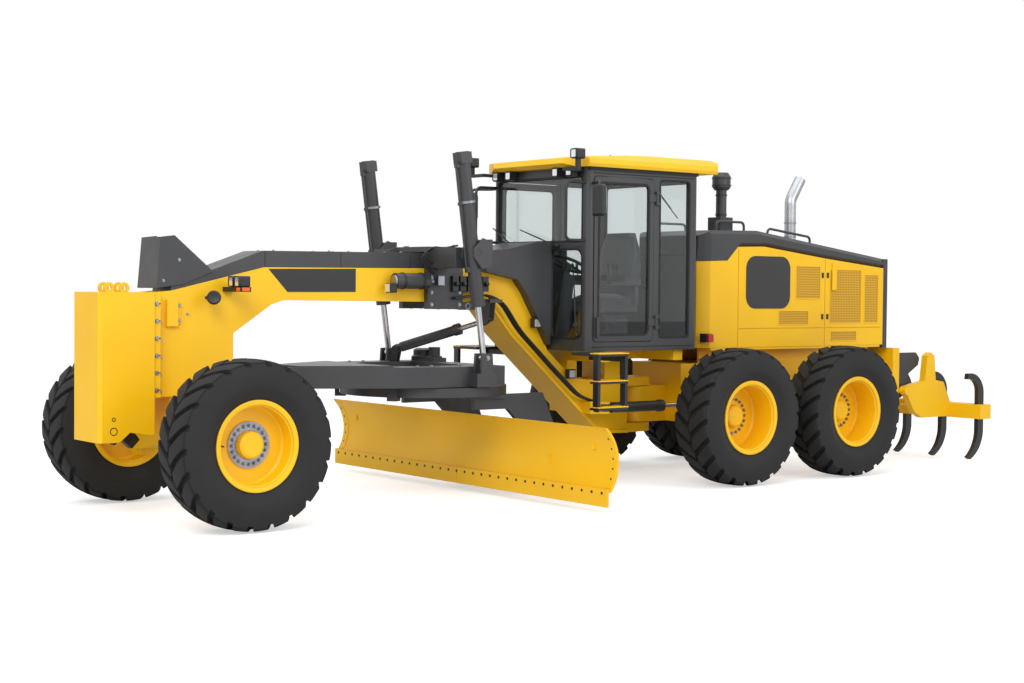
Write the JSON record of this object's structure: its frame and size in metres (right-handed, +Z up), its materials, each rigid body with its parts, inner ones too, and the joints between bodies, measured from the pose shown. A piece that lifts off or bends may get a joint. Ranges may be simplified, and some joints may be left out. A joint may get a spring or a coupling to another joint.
{
  "type": "motor grader",
  "caption": "Articulated motor grader: long gooseneck frame with leaning front wheels, drawbar, turning circle and blade, full-height cab, rear engine on tandem wheels, push block and ripper.",
  "frame": {"origin": "on the ground under the middle of the overall length, push block to ripper, on the machine centre line", "axes": "+X forward along the machine, +Y to the machine left, +Z up"},
  "size_m": [10.255, 4.267, 3.1825],
  "materials": {
    "yellow_paint": "glossy yellow machine enamel",
    "dark_paint": "satin near-black enamel",
    "tyre_rubber": "matt black tyre rubber",
    "chrome_rod": "hard chrome, polished",
    "bare_steel": "worn bare steel",
    "window_glass": "clear lightly tinted safety glass",
    "seat_cloth": "dark woven seat cloth",
    "dark_plastic": "grained black plastic"
  },
  "bodies": {
    "chassis": {"main_frame": "yellow_paint", "frame_covers": "dark_paint", "push_block": "yellow_paint", "front_axle": "yellow_paint", "saddle": "dark_paint", "cab_shell": "dark_paint", "cab_roof": "yellow_paint", "cab_glass": "window_glass", "cab_seat": "seat_cloth", "cab_console": "dark_plastic", "lamps": "dark_plastic", "rails_and_steps": "dark_paint"},
    "rear": {"rear_frame": "yellow_paint", "tandem_cases": "yellow_paint", "engine_block": "dark_paint", "hood": "yellow_paint", "hood_covers": "dark_paint", "exhaust": "bare_steel"},
    "yoke_left": {"lean_yoke_left": "yellow_paint"},
    "yoke_right": {"lean_yoke_right": "yellow_paint"},
    "lean_bar": {"lean_bar": "yellow_paint"},
    "knuckle_left": {"knuckle_left": "yellow_paint"},
    "knuckle_right": {"knuckle_right": "yellow_paint"},
    "tie_rod_joint": {"tie_rod_joint": "dark_paint"},
    "tie_rod": {"tie_rod": "dark_paint"},
    "drawbar": {"drawbar": "dark_paint"},
    "circle": {"circle": "dark_paint"},
    "tilt_carrier": {"tilt_carrier": "dark_paint"},
    "blade": {"moldboard": "yellow_paint", "cutting_edges": "yellow_paint"},
    "ripper": {"ripper_frame": "yellow_paint", "ripper_shanks": "dark_paint"},
    "door_left": {"door_left": "dark_paint"},
    "door_right": {"door_right": "dark_paint"},
    "wheel_front_left": {"tyre_front_left": "tyre_rubber", "rim_front_left": "yellow_paint"},
    "wheel_front_right": {"tyre_front_right": "tyre_rubber", "rim_front_right": "yellow_paint"},
    "wheel_middle_left": {"tyre_middle_left": "tyre_rubber", "rim_middle_left": "yellow_paint"},
    "wheel_middle_right": {"tyre_middle_right": "tyre_rubber", "rim_middle_right": "yellow_paint"},
    "wheel_rear_left": {"tyre_rear_left": "tyre_rubber", "rim_rear_left": "yellow_paint"},
    "wheel_rear_right": {"tyre_rear_right": "tyre_rubber", "rim_rear_right": "yellow_paint"},
    "lift_barrel_left": {"lift_barrel_left": "dark_paint"},
    "lift_rod_left": {"lift_rod_left": "chrome_rod"},
    "lift_barrel_right": {"lift_barrel_right": "dark_paint"},
    "lift_rod_right": {"lift_rod_right": "chrome_rod"},
    "artic_barrel_left": {"artic_barrel_left": "dark_paint"},
    "artic_rod_left": {"artic_rod_left": "chrome_rod"},
    "artic_barrel_right": {"artic_barrel_right": "dark_paint"},
    "artic_rod_right": {"artic_rod_right": "chrome_rod"},
    "side_barrel": {"side_barrel": "dark_paint"},
    "side_rod": {"side_rod": "chrome_rod"},
    "tilt_barrel": {"tilt_barrel": "dark_paint"},
    "tilt_rod": {"tilt_rod": "chrome_rod"},
    "ripper_barrel": {"ripper_barrel": "dark_paint"},
    "ripper_rod": {"ripper_rod": "chrome_rod"}
  },
  "joints": [
    {"name": "lean_left", "type": "hinge", "parent": "chassis", "child": "yoke_left", "pos_m": [4.3025, 0.64, 0.56], "axis": [1, 0, 0], "range_deg": [-18, 18]},
    {"name": "lean_right", "type": "hinge", "parent": "chassis", "child": "yoke_right", "pos_m": [4.3025, -0.64, 0.56], "axis": [1, 0, 0], "range_deg": [-18.2, 18.2]},
    {"name": "lean_bar_pin", "type": "hinge", "parent": "yoke_left", "child": "lean_bar", "pos_m": [4.3025, 0.64, 0.93], "axis": [1, 0, 0], "range_deg": [-18.2, 18.2]},
    {"name": "steer_left", "type": "hinge", "parent": "yoke_left", "child": "knuckle_left", "pos_m": [4.3025, 0.79, 0.668], "axis": [0, 0, 1], "range_deg": [-45, 45]},
    {"name": "steer_right", "type": "hinge", "parent": "yoke_right", "child": "knuckle_right", "pos_m": [4.3025, -0.79, 0.668], "axis": [0, 0, 1], "range_deg": [-45.5, 45.5]},
    {"name": "tie_rod_swivel", "type": "hinge", "parent": "knuckle_left", "child": "tie_rod_joint", "pos_m": [4.0725, 0.79, 0.56], "axis": [0, 0, 1], "range_deg": [-45.5, 45.5]},
    {"name": "tie_rod_pin", "type": "hinge", "parent": "tie_rod_joint", "child": "tie_rod", "pos_m": [4.0725, 0.79, 0.56], "axis": [1, 0, 0], "range_deg": [-18.2, 18.2]},
    {"name": "roll_front_left", "type": "hinge", "parent": "knuckle_left", "child": "wheel_front_left", "pos_m": [4.3025, 1.12, 0.668], "axis": [0, 1, 0], "continuous": true},
    {"name": "roll_front_right", "type": "hinge", "parent": "knuckle_right", "child": "wheel_front_right", "pos_m": [4.3025, -1.12, 0.668], "axis": [0, 1, 0], "continuous": true},
    {"name": "roll_middle_left", "type": "hinge", "parent": "rear", "child": "wheel_middle_left", "pos_m": [-1.0875, 1.12, 0.668], "axis": [0, 1, 0], "continuous": true},
    {"name": "roll_middle_right", "type": "hinge", "parent": "rear", "child": "wheel_middle_right", "pos_m": [-1.0875, -1.12, 0.668], "axis": [0, 1, 0], "continuous": true},
    {"name": "roll_rear_left", "type": "hinge", "parent": "rear", "child": "wheel_rear_left", "pos_m": [-2.6275, 1.12, 0.668], "axis": [0, 1, 0], "continuous": true},
    {"name": "roll_rear_right", "type": "hinge", "parent": "rear", "child": "wheel_rear_right", "pos_m": [-2.6275, -1.12, 0.668], "axis": [0, 1, 0], "continuous": true},
    {"name": "articulation", "type": "hinge", "parent": "chassis", "child": "rear", "pos_m": [-0.7475, 0, 0.745], "axis": [0, 0, 1], "range_deg": [-22, 22]},
    {"name": "artic_left_turn", "type": "hinge", "parent": "chassis", "child": "artic_barrel_left", "pos_m": [-0.0475, 0.36, 0.745], "axis": [0, 0, 1], "range_deg": [-8.56, 8.56]},
    {"name": "artic_left_stroke", "type": "slide", "parent": "artic_barrel_left", "child": "artic_rod_left", "axis": [-0.9972, 0.0746, 0], "range_m": [-0.16012, 0.16012]},
    {"name": "artic_right_turn", "type": "hinge", "parent": "chassis", "child": "artic_barrel_right", "pos_m": [-0.0475, -0.36, 0.745], "axis": [0, 0, 1], "range_deg": [-8.56, 8.56]},
    {"name": "artic_right_stroke", "type": "slide", "parent": "artic_barrel_right", "child": "artic_rod_right", "axis": [-0.9972, -0.0746, 0], "range_m": [-0.16012, 0.16012]},
    {"name": "drawbar_lift", "type": "hinge", "parent": "chassis", "child": "drawbar", "pos_m": [3.7825, 0, 1.11], "axis": [0, 1, 0], "range_deg": [-14, 9]},
    {"name": "lift_left_turn", "type": "hinge", "parent": "chassis", "child": "lift_barrel_left", "pos_m": [1.8625, 0.75, 2.2], "axis": [0, 1, 0], "range_deg": [-2.96, 2.01]},
    {"name": "lift_left_stroke", "type": "slide", "parent": "lift_barrel_left", "child": "lift_rod_left", "axis": [-0.1392, 0, -0.9903], "range_m": [-0.32433, 0.50285]},
    {"name": "lift_right_turn", "type": "hinge", "parent": "chassis", "child": "lift_barrel_right", "pos_m": [1.8625, -0.75, 2.2], "axis": [0, 1, 0], "range_deg": [-2.96, 2.01]},
    {"name": "lift_right_stroke", "type": "slide", "parent": "lift_barrel_right", "child": "lift_rod_right", "axis": [-0.1392, 0, -0.9903], "range_m": [-0.32433, 0.50285]},
    {"name": "side_turn", "type": "hinge", "parent": "drawbar", "child": "side_barrel", "pos_m": [1.8325, -0.47, 1.32], "axis": [-0.838, -0.5042, 0.2088], "range_deg": [-31.78, 20.54]},
    {"name": "side_stroke", "type": "slide", "parent": "side_barrel", "child": "side_rod", "axis": [-0.477, 0.8296, 0.2903], "range_m": [-0.09883, 0.15207]},
    {"name": "circle_turn", "type": "hinge", "parent": "drawbar", "child": "circle", "pos_m": [1.8525, 0, 0.97], "axis": [0, 0, 1], "range_deg": [-50, 50]},
    {"name": "blade_tilt", "type": "hinge", "parent": "circle", "child": "tilt_carrier", "pos_m": [1.1025, 0, 0.3], "axis": [0, 1, 0], "range_deg": [-5, 42]},
    {"name": "tilt_turn", "type": "hinge", "parent": "circle", "child": "tilt_barrel", "pos_m": [0.7825, 0, 0.42], "axis": [0, 1, 0], "range_deg": [-2.6, 19.63]},
    {"name": "tilt_stroke", "type": "slide", "parent": "tilt_barrel", "child": "tilt_rod", "axis": [0.9127, 0, 0.4087], "range_m": [-0.02075, 0.15211]},
    {"name": "blade_shift", "type": "slide", "parent": "tilt_carrier", "child": "blade", "axis": [0, -1, 0], "range_m": [-0.683, 0.683]},
    {"name": "ripper_lift", "type": "hinge", "parent": "rear", "child": "ripper", "pos_m": [-4.1975, 0, 0.8], "axis": [0, 1, 0], "range_deg": [-28, 25]},
    {"name": "ripper_turn", "type": "hinge", "parent": "rear", "child": "ripper_barrel", "pos_m": [-4.1975, 0, 1.3], "axis": [0, 1, 0], "range_deg": [-15.74, 14.08]},
    {"name": "ripper_stroke", "type": "slide", "parent": "ripper_barrel", "child": "ripper_rod", "axis": [-0.7071, 0, -0.7071], "range_m": [-0.15375, 0.17184]},
    {"name": "door_left_swing", "type": "hinge", "parent": "chassis", "child": "door_left", "pos_m": [-0.3525, 0.734, 2.1], "axis": [0, 0, 1], "range_deg": [0, 95]},
    {"name": "door_right_swing", "type": "hinge", "parent": "chassis", "child": "door_right", "pos_m": [-0.3525, -0.734, 2.1], "axis": [0, 0, -1], "range_deg": [0, 95]}
  ],
  "couplings": [
    {"joint": "lean_right", "follows": "lean_left", "ratio": 1},
    {"joint": "lean_bar_pin", "follows": "lean_left", "ratio": -1},
    {"joint": "steer_right", "follows": "steer_left", "ratio": 1},
    {"joint": "tie_rod_swivel", "follows": "steer_left", "ratio": -1},
    {"joint": "tie_rod_pin", "follows": "lean_left", "ratio": -0.81013},
    {"joint": "artic_left_turn", "follows": "articulation", "ratio": 0.37532},
    {"joint": "artic_left_stroke", "follows": "articulation", "m_per_rad": 0.4092},
    {"joint": "artic_right_turn", "follows": "articulation", "ratio": 0.37532},
    {"joint": "artic_right_stroke", "follows": "articulation", "m_per_rad": -0.4092},
    {"joint": "lift_left_turn", "follows": "drawbar_lift", "ratio": 0.18997},
    {"joint": "lift_left_stroke", "follows": "drawbar_lift", "m_per_rad": -2.0457},
    {"joint": "lift_right_turn", "follows": "drawbar_lift", "ratio": 0.18997},
    {"joint": "lift_right_stroke", "follows": "drawbar_lift", "m_per_rad": -2.0457},
    {"joint": "side_turn", "follows": "drawbar_lift", "ratio": 2.2484},
    {"joint": "side_stroke", "follows": "drawbar_lift", "m_per_rad": -0.61009},
    {"joint": "tilt_turn", "follows": "blade_tilt", "ratio": 0.46029},
    {"joint": "tilt_stroke", "follows": "blade_tilt", "m_per_rad": 0.20342},
    {"joint": "ripper_turn", "follows": "ripper_lift", "ratio": 0.5513},
    {"joint": "ripper_stroke", "follows": "ripper_lift", "m_per_rad": -0.34549}
  ]
}
